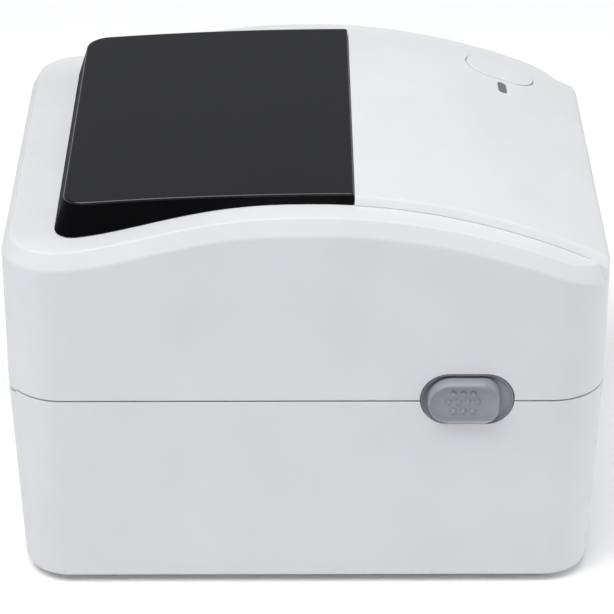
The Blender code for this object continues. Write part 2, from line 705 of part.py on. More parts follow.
def make_sockets():
    rear = 105.4
    jack = box((JACK_X - 5.0, JACK_X + 5.0), (rear - 15, rear - 3), (10.9, 21.9))
    nose = rod("Y", JACK_X, SOCKET_Z, 4.7, rear - 4, rear, 20)
    pin = rod("Y", JACK_X, SOCKET_Z, 1.0, rear - 12.5, rear - 5.2, 8)
    piece("dc_jack", "dark_plastic", jack, (JOIN, nose),
          (CUT, rod("Y", JACK_X, SOCKET_Z, 3.2, rear - 11.5, rear + 2)), (JOIN, pin))
    usb = box((USB_X - 6, USB_X + 6), (rear - 16, rear), (10.9, 21.9))
    tongue = box((USB_X - 2.9, USB_X + 2.9), (rear - 12.5, rear - 5.0), (SOCKET_Z - 1.6, SOCKET_Z + 1.6))
    cavity = box((USB_X - 4.3, USB_X + 4.3), (rear - 11, rear + 2), (SOCKET_Z - 3.9, SOCKET_Z + 3.9))
    piece("usb_socket", "steel", usb, (CUT, cavity), (JOIN, tongue))


def make_power_switch():
    x, z = SWITCH_X, SWITCH_Z
    piece("switch_frame", "dark_plastic", box((x - 7, x + 7), (92, 107.5), (z - 10, z + 10)),
          (JOIN, box((x - 8.5, x + 8.5), (107.0, 107.9), (z - 11.5, z + 11.5))),
          (CUT, box((x - 4.6, x + 4.6), (98.5, 110), (z - 7.6, z + 7.6))))
    rocker = [(-3.5, -5.0), (1.8, -7.0), (2.6, 0.0), (1.8, 7.0), (-3.5, 5.0)]
    centre = (ROCKER_Y, z)
    outline = [(centre[0] + u, centre[1] + v) for u, v in rocker]
    shape = turned(prism(outline, "X", x - 4.3, x + 4.3), math.radians(-8), centre)
    piece("power_rocker", "dark_plastic", shape, on="rocker_axis")


# Cover mechanism


def make_head_frame():
    inner, outer = 60.0, 62.5
    cheek = [(-76, 89), (-58, 89), (-58, 113), (-98, 113), (-98, 106)]
    pivot_hole = rod("X", *HEAD_PIVOT, 1.8, 58, 64, 12)
    shaft_hole = rod("X", *LATCH_SHAFT, 2.3, 58, 64, 16)
    piece("head_frame", "dark_plastic", prism(cheek, "X", -outer, outer),
          (CUT, box((-inner, inner), (-110, -50), (80, 110))),
          (CUT, mirrored(together(pivot_hole, shaft_hole))),
          (CUT, mirrored(rod("Z", 30, -70, 1.8, 105, 115, 12))), on="cover_hinge")
    for side, label in ((-1, "left"), (1, "right")):
        piece(f"cover_screw_{label}", "steel", rod("Z", side * 30, -70, 2.8, 107.6, 109.7, 16),
              (JOIN, rod("Z", side * 30, -70, 1.4, 109, 125, 12)), on="cover_hinge")


def make_print_head():
    low = PLATEN[1] + PLATEN_R + CLEAR
    strip = box((-PLATEN_HALF, PLATEN_HALF), (-97, -80), (low, low + 1.0))
    piece("thermal_strip", "ceramic", strip, on="head_pivot")
    plate = box((-HEAD_HALF, HEAD_HALF), (-98, -63), (low + 1.3, low + 4.7))
    lugs = mirrored(box((50, HEAD_HALF), (-71, -62.2), (low + 3, 96.5)))
    fins = together(*(box((-46, 46), (y, y + 1.4), (low + 4, low + 8)) for y in (-82, -78.5, -75)))
    piece("print_head", "aluminium", plate, (JOIN, lugs), (JOIN, fins),
          (CUT, mirrored(rod("X", *HEAD_PIVOT, 1.8, 45, 60, 12))), on="head_pivot")
    piece("head_pivot_shaft", "steel", rod("X", *HEAD_PIVOT, 1.5, -63.0, 63.0, 12), on="cover_hinge")


def coil(x, y, z, radius, wire, turns, around=8, sides=4):
    """A compression spring standing on Z, as a tube swept along a helix."""
    low, high = z[0] + wire, z[1] - wire
    rings = []
    for i in range(turns * around + 1):
        a = 2 * math.pi * i / around
        level = low + (high - low) * i / (turns * around)
        ring = []
        for k in range(sides):
            b = 2 * math.pi * k / sides
            r = radius + wire * math.cos(b)
            ring.append((x + r * math.cos(a), y + r * math.sin(a), level + wire * math.sin(b)))
        rings.append(ring)
    return loft(rings)


def make_head_springs():
    for side, label in ((-1, "left"), (1, "right")):
        spring = coil(side * SPRING_X, SPRING_Y, SPRING_Z, 3.2, 0.45, 6)
        piece(f"head_spring_{label}", "steel", spring, on="head_pivot")


def make_tear_bar():
    count, half, tip, root = 48, 55.0, 85.6, 87.2
    step = 2 * half / count
    teeth = []
    for i in range(count):
        teeth += [(-half + i * step, root), (-half + (i + 0.5) * step, tip)]
    outline = teeth + [(half, root), (half, 98), (-half, 98)]
    piece("tear_bar", "steel", prism(outline, "Y", -104.7, -103.6), on="cover_hinge")


def make_feed_button():
    u, v = BUTTON_SIZE
    piece("feed_button", "white", button_frame(prism(oval(0, 0, u, v, 16), "Z", -7.6, 0.25)),
          (JOIN, button_frame(prism(oval(0, 0, u + 3, v + 3, 16), "Z", -7.9, -6.7))), on="feed_button_axis")
    board = box((-24, 10), (-12, 12), (-13.2, -11.6))
    light_x = LED_X - BUTTON_X
    light = box((light_x - 2, light_x + 2), (-1, 1), (-12, -10.4))
    switch = together(box((-3, 3), (-3, 3), (-12, -9.0)), light)
    piece("button_board", "board", button_frame(board), (JOIN, button_frame(switch)), on="cover_hinge")
    lens = prism(oval(light_x, 0, *LED_SIZE), "Z", -9.5, 0.0)
    piece("led_lens", "smoked", button_frame(lens), on="cover_hinge")


def slider_outline(inset=0.0):
    """The slider seen from the side: a half-round rear end and a front end with tighter corners."""
    y0, y1 = SLIDER_Y[0] + inset, SLIDER_Y[1] - inset
    z0, z1 = SLIDER_Z[0] + inset, SLIDER_Z[1] - inset
    rear_r, front_r = (SLIDER_Z[1] - SLIDER_Z[0]) / 2 - inset, 7.4 - inset
    corners = ((y1 - rear_r, z1 - rear_r, rear_r, 0), (y0 + front_r, z1 - front_r, front_r, 90),
               (y0 + front_r, z0 + front_r, front_r, 180), (y1 - rear_r, z0 + rear_r, rear_r, 270))
    points = []
    for y, z, radius, start in corners:
        for i in range(5):
            a = math.radians(start + 90 * i / 4)
            points.append((y + radius * math.cos(a), z + radius * math.sin(a)))
    return points[:-1]


def make_latch():
    middle_y, middle_z = -56.1, sum(SLIDER_Z) / 2
    low, high = SLIDER_X
    floor = high - DISH_DEPTH
    dome_rows = ((3.8, (-3.5, 0, 3.5)), (0, (-5.25, -1.75, 1.75, 5.25)), (-3.8, (-3.5, 0, 3.5)))
    for side, label in ((-1, "left"), (1, "right")):
        body = prism(slider_outline(), "X", low, high)
        dish = prism(slider_outline(1.8), "X", floor, high + 2)
        stem = box((74, low + 1), (-58.4, -55.4), STEM_Z)
        domes = together(*(rod("X", middle_y + u, middle_z + v, 0.85, floor - 0.5, floor + 0.9, 6)
                           for v, row in dome_rows for u in row))
        piece(f"latch_button_{label}", "latch_grey", flipped(body, side), (CUT, flipped(dish, side)),
              (JOIN, flipped(domes, side)), (JOIN, flipped(stem, side)), on=f"latch_{label}_slide")
        plate = box((83.0, 84.8), (-79, -37), (69, 94))
        cup_size = RECESS_LENGTH - 2 * CLEAR, RECESS_HEIGHT - 2 * CLEAR
        cup = prism(oval(RECESS_Y, RECESS_Z, *cup_size, 12), "X", *CUP_X)
        inner_size = [size - 2 * CUP_WALL for size in cup_size]
        hollow = prism(oval(RECESS_Y, RECESS_Z, *inner_size, 12), "X", 84.8, 95)
        slot = box((82, 86), (-63.6, -54.8), (STEM_Z[0] - 0.8, STEM_Z[1] + 0.8))
        piece(f"latch_housing_{label}", "latch_grey", flipped(plate, side), (JOIN, flipped(cup, side)),
              (CUT, flipped(hollow, side)), (CUT, flipped(slot, side)), on="cover_hinge")
        y, z = LATCH_SHAFT
        arm = [(y - 4, z + 4), (y - 4, 60), (y + 4.7, 60), (y + 4.7, 61), (y + 3, 63.5), (y + 3, z + 4)]
        hook, bore = prism(arm, "X", *HOOK_X), rod("X", y, z, 2.3, 70, 85, 16)
        piece(f"latch_hook_{label}", "dark_plastic", flipped(hook, side), (CUT, flipped(bore, side)),
              on="latch_shaft_axis")
    piece("latch_shaft", "steel", rod("X", *LATCH_SHAFT, 2.0, -80.0, 80.0, 16), on="latch_shaft_axis")


def make_latch_spring():
    """A torsion spring wound round the latch shaft, with one leg resting under the frame."""
    y, z = LATCH_SHAFT
    rings = []
    for i in range(41):
        a = 2 * math.pi * i / 10
        x = 64.5 + 1.35 * i / 10
        ring = []
        for k in range(5):
            b = 2 * math.pi * k / 5
            r = 3.0 + 0.4 * math.cos(b)
            ring.append((x + 0.4 * math.sin(b), y + r * math.cos(a), z + r * math.sin(a)))
        rings.append(ring)
    piece("latch_spring", "steel", loft(rings), on="cover_hinge")


def make_pivots():
    idler = idler_centre()
    top = rim_height(BUTTON_Y) + TONGUE_HEIGHT
    pivot("cover_hinge", (0, HINGE_Y, HINGE_Z))
    pivot("latch_left_slide", (-87, RECESS_Y, RECESS_Z), "cover_hinge")
    pivot("latch_right_slide", (87, RECESS_Y, RECESS_Z), "cover_hinge")
    pivot("latch_shaft_axis", (0, *LATCH_SHAFT), "cover_hinge")
    pivot("feed_button_axis", (BUTTON_X, BUTTON_Y, top), "cover_hinge")
    pivot("head_pivot", (0, *HEAD_PIVOT), "cover_hinge")
    pivot("platen_axis", (0, *PLATEN))
    pivot("idler_axis", (0, *idler))
    pivot("motor_axis", (0, *MOTOR))
    pivot("holder_left_slide", (HOLDER_X[0], *ROLL))
    pivot("holder_right_slide", (-HOLDER_X[0], *ROLL))
    pivot("guide_axis", (0, GUIDE_Y, RACK_Z[0]))
    pivot("rocker_axis", (SWITCH_X, ROCKER_Y, SWITCH_Z))


def main():
    clear_scene()
    make_pivots()
    make_base_case()
    make_feet_and_screws()
    make_hinge_pins()
    make_media_tray()
    make_roll_holders()
    make_gears()
    make_platen()
    make_motor()
    make_print_frame()
    make_label_guide()
    make_latch_catches()
    make_main_board()
    make_sockets()
    make_power_switch()
    make_top_cover()
    make_top_panel()
    make_head_frame()
    make_print_head()
    make_head_springs()
    make_tear_bar()
    make_feed_button()
    make_latch()
    make_latch_spring()


main()
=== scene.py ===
"""The looks of the desktop thermal label printer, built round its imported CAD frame.

Shapes are drawn in millimetres in the frame's own axes: +Z up, labels leave at the front (-Y), origin under
the middle. MM turns them into metres. Pieces in view replace their CAD nodes with finer ones, and the pieces
inside are their CAD nodes' own shapes with rounded edges.
"""
import json
import math

import bmesh
import bpy
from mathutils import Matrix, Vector


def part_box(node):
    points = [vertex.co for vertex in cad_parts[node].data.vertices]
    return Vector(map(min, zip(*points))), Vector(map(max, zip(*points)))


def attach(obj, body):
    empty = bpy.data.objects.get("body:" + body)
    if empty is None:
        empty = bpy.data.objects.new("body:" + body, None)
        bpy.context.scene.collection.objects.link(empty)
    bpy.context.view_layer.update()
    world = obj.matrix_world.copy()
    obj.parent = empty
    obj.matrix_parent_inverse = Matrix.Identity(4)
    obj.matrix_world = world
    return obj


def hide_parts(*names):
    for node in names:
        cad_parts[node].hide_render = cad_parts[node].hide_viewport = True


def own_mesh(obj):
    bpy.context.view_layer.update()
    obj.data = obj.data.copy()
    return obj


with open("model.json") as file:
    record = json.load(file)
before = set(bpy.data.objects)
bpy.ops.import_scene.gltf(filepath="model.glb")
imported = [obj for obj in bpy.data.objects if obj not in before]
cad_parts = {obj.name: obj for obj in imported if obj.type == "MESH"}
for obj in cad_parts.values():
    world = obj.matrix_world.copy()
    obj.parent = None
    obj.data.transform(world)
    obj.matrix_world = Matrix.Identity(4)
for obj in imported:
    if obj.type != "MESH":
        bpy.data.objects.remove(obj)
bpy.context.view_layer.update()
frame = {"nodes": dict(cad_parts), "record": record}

MM = 0.001
CUT, JOIN, KEEP = "DIFFERENCE", "UNION", "INTERSECT"
AXES = {"X": (0, 1, 2), "Y": (1, 0, 2), "Z": (2, 0, 1)}


def node_box(name):
    """A CAD node's lowest and highest corners, in millimetres."""
    low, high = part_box(name)
    return low / MM, high / MM


# Case, from the two shells' boxes. FLOOR_FILLET holds (inset, rise) pairs of the floor's rounded inner edge
COVER_HIGH = node_box("top_cover")[1]
HALF_X, HALF_Y = COVER_HIGH.x, COVER_HIGH.y
CORNER_R = 20.5
BASE_TOP = 80.4
COVER_BOTTOM = BASE_TOP + 0.6
UNDERSIDE = node_box("base_case")[0].z
FLOOR_TOP = UNDERSIDE + 2.5
FLOOR_FILLET = ((2.4, 0.0), (0.9, 0.6), (0.3, 2.2))
LOWER_ROUND = 3.0
BASE_WALL, COVER_WALL = 2.6, 2.4
BASE_TAPER = 3.1
EDGE = 0.35

# Cover top: a crest behind the label exit, falling to the front and easing down to a level rear rim. CEILING
# holds (inset, drop) pairs of its inner edge, measured from the outline and the rim
CREST_Y, CREST_Z = -3.0, 153.1
FRONT_FALL = 0.00227
REAR_RIM_Y, REAR_RIM_Z = 90.0, 139.4
RIM_WIDTH, RIM_DROP = 3.25, 5.85
CEILING = ((8.6, 2.9), (5.6, 3.2), (3.4, 4.6), (COVER_WALL, 7.5))

# Raised front and black panel
PANEL_LOW, PANEL_HIGH = node_box("top_panel")
STEP_Y = PANEL_LOW.y - 0.3
FOOT_X, CROWN_X = PANEL_HIGH.x, PANEL_HIGH.x - 2.3
RAISED = 2.75
PANEL_TOP, PANEL_FALL = PANEL_HIGH.z, 0.00038
PANEL_REAR = PANEL_HIGH.y
PANEL_CORNER = 8.5

# Hinge, latch and feed button. The barrel's stations along X are close where the case's rear corners curve
HINGE_Y, HINGE_Z = 104.8, 80.65
BARREL_R = 3.9
HINGE_GAP = 0.3
BARREL_STATIONS = [-80, -79, -78, -77, -76, -74, -72, -70, -67, 67, 70, 72, 74, 76, 77, 78, 79, 80]
KNUCKLE = (31.5, 41.5)
KNUCKLE_SPACE_R = 4.35
RECESS_Y, RECESS_Z, RECESS_LENGTH, RECESS_HEIGHT = -57.9, 81.3, 34.0, 20.8
SLIDER_LOW, SLIDER_HIGH = node_box("latch_button_right")
BUTTON_X, BUTTON_Y = 62.0, -77.0
BUTTON_SIZE = (18.0, 28.0)
LED_X = 45.3
LED_SIZE = (10.0, 3.6)

# Rear wall, as a range of Y, and the places on the floor
REAR_WALL = (98, 112)
FOOT_PLACES = [(x, y) for x in (-68, 68) for y in (-85, 85)]
SCREW_PLACES = [(x, y) for x in (-52, 52) for y in (-66, 74)]
BOARD_POST_PLACES = [(x, y) for x in (-38, 38) for y in (-24, 90)]

# Outlines: the quarters of a turn, as side of u, side of v and start in degrees
CORNERS = ((1, 1, 0), (-1, 1, 90), (-1, -1, 180), (1, -1, 270))
SAME_POINT = 0.01


# Shapes: each is (points, faces), in millimetres


def rim_height(y):
    """Height of the cover's top rim at depth y."""
    if y <= CREST_Y:
        return CREST_Z - FRONT_FALL * (y - CREST_Y) ** 2
    share = min(1.0, (y - CREST_Y) / (REAR_RIM_Y - CREST_Y)) ** 1.35
    return CREST_Z - (CREST_Z - REAR_RIM_Z) * (3 * share**2 - 2 * share**3)


def circle(u, v, radius, count=48):
    """A circle's points."""
    steps = [2 * math.pi * i / count for i in range(count)]
    return [(u + radius * math.cos(a), v + radius * math.sin(a)) for a in steps]


def arc(u, v, radius, start, count):
    """A quarter circle's points, from an angle in degrees."""
    steps = [math.radians(start + 90 * i / count) for i in range(count + 1)]
    return [(u + radius * math.cos(a), v + radius * math.sin(a)) for a in steps]


def oval(u, v, size_u, size_v, count=16):
    """A slot outline: two half circles joined by straight sides."""
    radius = min(size_u, size_v) / 2
    reach_u, reach_v = size_u / 2 - radius, size_v / 2 - radius
    points = []
    for corner_u, corner_v, start in CORNERS:
        for point in arc(u + corner_u * reach_u, v + corner_v * reach_v, radius, start, count):
            if not points or math.dist(points[-1], point) > SAME_POINT:
                points.append(point)
    if math.dist(points[0], points[-1]) < SAME_POINT:
        points.pop()
    return points


def rounded_box(u, v, size_u, size_v, radius):
    """A rectangle with rounded corners, as an outline."""
    points = []
    reach_u, reach_v = size_u / 2 - radius, size_v / 2 - radius
    for corner_u, corner_v, start in CORNERS:
        points += arc(u + corner_u * reach_u, v + corner_v * reach_v, radius, start, 8)
    return points


def set_along(axis, level, outline):
    """An outline's points in space, at a level along an axis."""
    along, u, v = AXES[axis]
    points = []
    for a, b in outline:
        point = [0.0, 0.0, 0.0]
        point[along], point[u], point[v] = level, a, b
        points.append(tuple(point))
    return points


def loft(rings, ladder=False):
    """Rings of equal length joined in turn, then closed: into a loop if the last is the first, else capped.

    ladder caps the ends with a row of quads, for rings whose second half mirrors the first."""
    closed = rings[0] == rings[-1]
    if closed:
        rings = rings[:-1]
    count = len(rings[0])
    points = [point for ring in rings for point in ring]
    faces = []
    for r in range(len(rings) - (0 if closed else 1)):
        low, high = r * count, (r + 1) % len(rings) * count
        for i in range(count):
            j = (i + 1) % count
            faces.append((low + i, low + j, high + j, high + i))
    if closed:
        return points, faces
    last = (len(rings) - 1) * count
    if not ladder:
        return points, faces + [tuple(range(count)), tuple(range(last, last + count))]
    for start in (0, last):
        for i in range(count // 2 - 1):
            faces.append((start + i, start + i + 1, start + count - 2 - i, start + count - 1 - i))
    return points, faces


def prism(outline, axis, low, high):
    return loft([set_along(axis, low, outline), set_along(axis, high, outline)])


def box(x, y, z):
    return prism([(x[0], y[0]), (x[1], y[0]), (x[1], y[1]), (x[0], y[1])], "Z", z[0], z[1])


def rod(axis, u, v, radius, low, high, count=48):
    return prism(circle(u, v, radius, count), axis, low, high)


def together(*shapes):
    """Shapes that stay clear of each other, as one."""
    points, faces = [], []
    for more_points, more_faces in shapes:
        start = len(points)
        points += more_points
        faces += [tuple(start + i for i in face) for face in more_faces]
    return points, faces


def flipped(shape, side):
    """The shape itself for side 1, or its mirror image across X = 0 for side -1."""
    points, faces = shape
    return [(side * x, y, z) for x, y, z in points], faces


def mirrored(shape):
    """The shape and its mirror image across X = 0."""
    return together(shape, flipped(shape, -1))


def turned(shape, angle, centre):
    """The shape turned about an X-wise line through centre (y, z)."""
    points, faces = shape
    c, s = math.cos(angle), math.sin(angle)
    found = []
    for x, y, z in points:
        dy, dz = y - centre[0], z - centre[1]
        found.append((x, centre[0] + c * dy - s * dz, centre[1] + s * dy + c * dz))
    return found, faces


# Objects


def mesh_object(name, shape):
    points, faces = shape
    bm = bmesh.new()
    verts = [bm.verts.new(Vector(point) * MM) for point in points]
    for face in faces:
        bm.faces.new([verts[i] for i in face])
    bmesh.ops.recalc_face_normals(bm, faces=bm.faces)
    mesh = bpy.data.meshes.new(name)
    bm.to_mesh(mesh)
    bm.free()
    obj = bpy.data.objects.new(name, mesh)
    bpy.context.scene.collection.objects.link(obj)
    return obj


def bake_modifiers(obj):
    graph = bpy.context.evaluated_depsgraph_get()
    made = bpy.data.meshes.new_from_object(obj.evaluated_get(graph), depsgraph=graph)
    obj.modifiers.clear()
    obj.data = made
    made.name = obj.name


def combine(obj, operation, other):
    """One Boolean step with another object, which is then removed."""
    modifier = obj.modifiers.new("step", "BOOLEAN")
    modifier.operation, modifier.object, modifier.solver = operation, other, "EXACT"
    bake_modifiers(obj)
    bpy.data.objects.remove(other, do_unlink=True)
    return obj


def carve(obj, *steps):
    """Boolean steps in turn, each an (operation, shape) pair."""
    for operation, shape in steps:
        combine(obj, operation, mesh_object("helper", shape))
    return obj


def smooth(obj, angle=30, weighted=True):
    """Smooth shading that keeps creases, with flat faces left flat."""
    obj.data.shade_smooth()
    obj.data.set_sharp_from_angle(angle=math.radians(angle))
    if weighted:
        modifier = obj.modifiers.new("normals", "WEIGHTED_NORMAL")
        modifier.keep_sharp = True
    return obj


def rounded(obj, width):
    """Rounds the sharp edges by a width in millimetres."""
    modifier = obj.modifiers.new("edges", "BEVEL")
    modifier.width, modifier.segments = width * MM, 2
    modifier.limit_method, modifier.angle_limit = "ANGLE", math.radians(30)
    modifier.miter_outer = "MITER_ARC"
    bake_modifiers(obj)
    return obj


def set_out(obj, body, material, node):
    """Rides a finished piece on its body, with its material and slot, in place of its CAD node."""
    obj.data.materials.clear()
    obj.data.materials.append(material)
    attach(obj, body)
    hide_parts(node)
    return obj


# Case


def half_chain(half_x, front, rear, front_r, rear_r, sides=56, corner=20):
    """The +X half of a rounded rectangle, from its front edge round to its rear edge."""
    low, high = front + front_r, rear - rear_r
    points = arc(half_x - front_r, low, front_r, -90, corner)
    points += [(half_x, low + (high - low) * i / sides) for i in range(1, sides)]
    return points + arc(half_x - rear_r, high, rear_r, 0, corner)


def ring_at(chain, height):
    """A closed ring over a half chain and its mirror image, at a height given by a function of y."""
    right = [(x, y, height(y)) for x, y in chain]
    return right + [(-x, y, z) for x, y, z in reversed(right)]


def case_ring(inset, height, sides=56):
    """A ring round the case, inset from its outline."""
    radius = CORNER_R - inset
    return ring_at(half_chain(HALF_X - inset, inset - HALF_Y, HALF_Y - inset, radius, radius, sides), height)


def quarter(width, drop, steps):
    """A rounded edge as (inset, drop) pairs, from the side face in to the top face."""
    turns = [math.pi / 2 * i / steps for i in range(steps + 1)]
    return [(width * (1 - math.cos(a)), drop * (1 - math.sin(a))) for a in turns]


def bevelled(width, drop, low_round, high_round):
    """A bevelled edge with its two corners rounded, as (inset, drop) pairs from the side in to the top."""
    steps = 5
    slant = math.hypot(width, drop)
    along = (width / slant, -drop / slant)
    corners = (
        ((0, drop), (0, 1), along, low_round),
        ((width, 0), (-along[0], -along[1]), (1, 0), high_round),
    )
    pairs = []
    for (u, v), back, ahead, reach in corners:
        start = (u + back[0] * reach, v + back[1] * reach)
        end = (u + ahead[0] * reach, v + ahead[1] * reach)
        for i in range(steps + 1):
            t = i / steps
            a, b, c = (1 - t) ** 2, 2 * t * (1 - t), t**2
            pairs.append((a * start[0] + b * u + c * end[0], a * start[1] + b * v + c * end[1]))
    return pairs


def recess_window():
    """The opening for a latch, whose edge flares out at the case's surface."""
    rings = []
    flare = ((80, 0), (HALF_X - 0.45, 0), (HALF_X - 0.13, 0.13), (HALF_X + 0.02, 0.45), (HALF_X + 4, 3))
    for x, grow in flare:
        outline = oval(RECESS_Y, RECESS_Z, RECESS_LENGTH + 2 * grow, RECESS_HEIGHT + 2 * grow, 24)
        rings.append(set_along("X", x, outline))
    return mirrored(loft(rings))


def knuckle_shape():
    """The base's hinge knuckle: a round eye on a web that stays behind the cover's swept path."""
    foot_z, shelf_z = 70, 75.8
    foot = [(HINGE_Y - 4, foot_z), (HINGE_Y + 2, foot_z), (HINGE_Y + 2, shelf_z), (HINGE_Y, shelf_z)]
    eye = []
    for i in range(25):
        a = math.radians(-90 + 270 * i / 24)
        eye.append((HINGE_Y + BARREL_R * math.cos(a), HINGE_Z + BARREL_R * math.sin(a)))
    return mirrored(prism(foot + eye, "X", *KNUCKLE))


def case_edge_y(x):
    """How far back the case's outline reaches at x."""
    beyond = max(0.0, abs(x) - (HALF_X - CORNER_R))
    return HALF_Y - CORNER_R + math.sqrt(max(0.0, CORNER_R**2 - beyond**2))


def barrel_radius(x, grow):
    """The hinge barrel's radius, which shrinks where the case's rear corners curve away from it."""
    return grow + min(BARREL_R, case_edge_y(x) - HINGE_Y)


def hinge_barrel(grow=0.0):
    """A full-width barrel, or the space for it."""
    rings = []
    for x in BARREL_STATIONS:
        rings.append(set_along("X", x, circle(HINGE_Y, HINGE_Z, barrel_radius(x, grow), 40)))
    return loft(rings)


def space_behind_hinge():
    """Room for the cover's rear wall as it swings down behind the hinge."""
    outside, above = 120, 90
    rings = []
    for x in BARREL_STATIONS:
        low = HINGE_Z - barrel_radius(x, HINGE_GAP)
        section = [(HINGE_Y, low), (outside, low), (outside, above), (HINGE_Y, above)]
        rings.append(set_along("X", x, section))
    return loft(rings)


def make_case_shell(material):
    """The lower case: an open box whose walls lean out, from the floor's inside round to its underside."""
    taper, wall = BASE_TAPER, BASE_WALL
    rings = []
    for inset, rise in FLOOR_FILLET:
        rings.append(case_ring(taper + wall + inset, lambda y, rise=rise: FLOOR_TOP + rise, 1))
    rings.append(case_ring(wall, lambda y: BASE_TOP - EDGE, 1))
    rings.append(case_ring(wall - EDGE, lambda y: BASE_TOP, 1))
    for inset, drop in reversed(quarter(EDGE, EDGE, 3)):
        rings.append(case_ring(inset, lambda y, drop=drop: BASE_TOP - drop, 1))
    for inset, drop in quarter(LOWER_ROUND, LOWER_ROUND, 8):
        rings.append(case_ring(taper + inset, lambda y, drop=drop: UNDERSIDE + drop, 1))
    obj = mesh_object("case_shell", loft(rings))
    carve(obj, (CUT, recess_window()), (CUT, hinge_barrel(HINGE_GAP)), (CUT, space_behind_hinge()),
          (CUT, rear_openings()), (JOIN, knuckle_shape()), (CUT, floor_holes()), (JOIN, board_posts()))
    smooth(obj)
    return set_out(obj, "base", material, "base_case")


def rear_openings():
    """The label slot and the openings for the power inlet, the USB socket and the power switch."""
    jack, usb, switch = (node_box(name) for name in ("dc_jack", "usb_socket", "switch_frame"))
    jack_x, usb_x, switch_x = ((low.x + high.x) / 2 for low, high in (jack, usb, switch))
    socket_z, switch_z = (usb[0].z + usb[1].z) / 2, (switch[0].z + switch[1].z) / 2
    slot = rounded_box(0, 65, 114, 6, 2.9)
    usb_hole = rounded_box(usb_x, socket_z, 13, 12, 1.0)
    switch_hole = rounded_box(switch_x, switch_z, 14.6, 20.6, 0.6)
    return together(
        prism(slot, "Y", *REAR_WALL), rod("Y", jack_x, socket_z, 5.0, *REAR_WALL),
        prism(usb_hole, "Y", *REAR_WALL), prism(switch_hole, "Y", *REAR_WALL),
    )


def floor_holes():
    """Recesses for the feet and for the case screws, from below."""
    feet = together(*(rod("Z", x, y, 7.3, 1, 3.4) for x, y in FOOT_PLACES))
    screws = together(*(rod("Z", x, y, 3.4, 1, 4.0) for x, y in SCREW_PLACES))
    return together(feet, screws)


def board_posts():
    """Standoffs for the main board."""
    return together(*(rod("Z", x, y, 3, 4.5, 8.7, 24) for x, y in BOARD_POST_PLACES))


def raised_front():
    """The raised front part of the cover's top, before its front end is shaped: a ridge with sloping sides.

    Its sides are steeper under the knee, just below the rim, and reach further down at the front corners."""
    slope = (FOOT_X - CROWN_X) / RAISED
    sunk, knee, steep, edge = 1.4, 0.5, 0.3, 0.7
    rings = []
    for i in range(40):
        y = STEP_Y - (HALF_Y + STEP_Y + 6) * i / 39
        rim = rim_height(y)
        top, low = rim + RAISED, rim - sunk - 1.4 * max(0.0, 6.8 - HALF_Y - y)
        knee_x, knee_z = CROWN_X + slope * (RAISED + knee), rim - knee
        section = [(knee_x + steep * (knee_z - low), low), (knee_x, knee_z)]
        for step in range(7):
            t = step / 6
            section.append((CROWN_X + slope * edge * (1 - t) ** 2 - t**2, top - edge * (1 - t) ** 2))
        section.append((LED_X - 8, top))
        right = [(x, y, z) for x, z in section]
        rings.append(right + [(-x, y, z) for x, y, z in reversed(right)])
    return loft(rings, ladder=True)


def raised_envelope():
    """The cover's rounded outline at the raised front's height, which shapes the ridge's front end."""
    inside = 0.03
    rings = [case_ring(inside, lambda y: COVER_BOTTOM + 30)]
    for inset, drop in quarter(1.8, 2.6, 10):
        rings.append(case_ring(inside + inset, lambda y, drop=drop: rim_height(y) + RAISED + 0.01 - drop))
    return loft(rings, ladder=True)


def foot_groove():
    """A fine groove along the foot of the raised front's sloping side, which runs out near the front."""
    near, far, over = FOOT_X - 0.1, FOOT_X + 0.3, 1
    rings = []
    for i in range(40):
        y = STEP_Y - 0.2 - (HALF_Y + STEP_Y - 7.5) * i / 39
        z, depth = rim_height(y), 0.1 + 0.4 * min(1.0, (39 - i) / 6)
        rings.append([(near, y, z - depth), (far, y, z - depth), (far, y, z + over), (near, y, z + over)])
    return mirrored(loft(rings))


def button_frame(shape):
    """Puts a shape drawn about the button's centre, with z along its travel, on the tilted cover top."""
    points, faces = shape
    top = rim_height(BUTTON_Y) + RAISED
    placed = [(BUTTON_X + x, BUTTON_Y + y, top + z) for x, y, z in points]
    return turned((placed, faces), math.atan(-2 * FRONT_FALL * (BUTTON_Y - CREST_Y)), (BUTTON_Y, top))


def flared_hole(u, v, size_u, size_v, depth, edge):
    """A slot-shaped hole into z < 0 whose mouth is rounded over."""
    rings = []
    mouth = ((-depth, 0), (-edge, 0), (-edge * 0.3, edge * 0.3), (0.02, edge), (3, edge + 2))
    for z, grow in mouth:
        rings.append([(a, b, z) for a, b in oval(u, v, size_u + 2 * grow, size_v + 2 * grow)])
    return loft(rings)


def knuckle_spaces():
    """Room in the cover's barrel for the base's knuckles and for their webs."""
    low, high = KNUCKLE[0] - 0.4, KNUCKLE[1] + 0.4
    eyes = mirrored(rod("X", HINGE_Y, HINGE_Z, KNUCKLE_SPACE_R, low, high))
    webs = mirrored(box((low, high), (HINGE_Y - KNUCKLE_SPACE_R, HINGE_Y), (74, HINGE_Z)))
    return eyes, webs


def top_holes():
    """The holes for the feed button and the light."""
    button_gap, light_gap, depth = 0.7, 0.1, 12
    button = flared_hole(0, 0, BUTTON_SIZE[0] + button_gap, BUTTON_SIZE[1] + button_gap, depth, 0.2)
    light = flared_hole(LED_X - BUTTON_X, 0, LED_SIZE[0] + light_gap, LED_SIZE[1] + light_gap, depth, 0.15)
    return together(button_frame(button), button_frame(light))


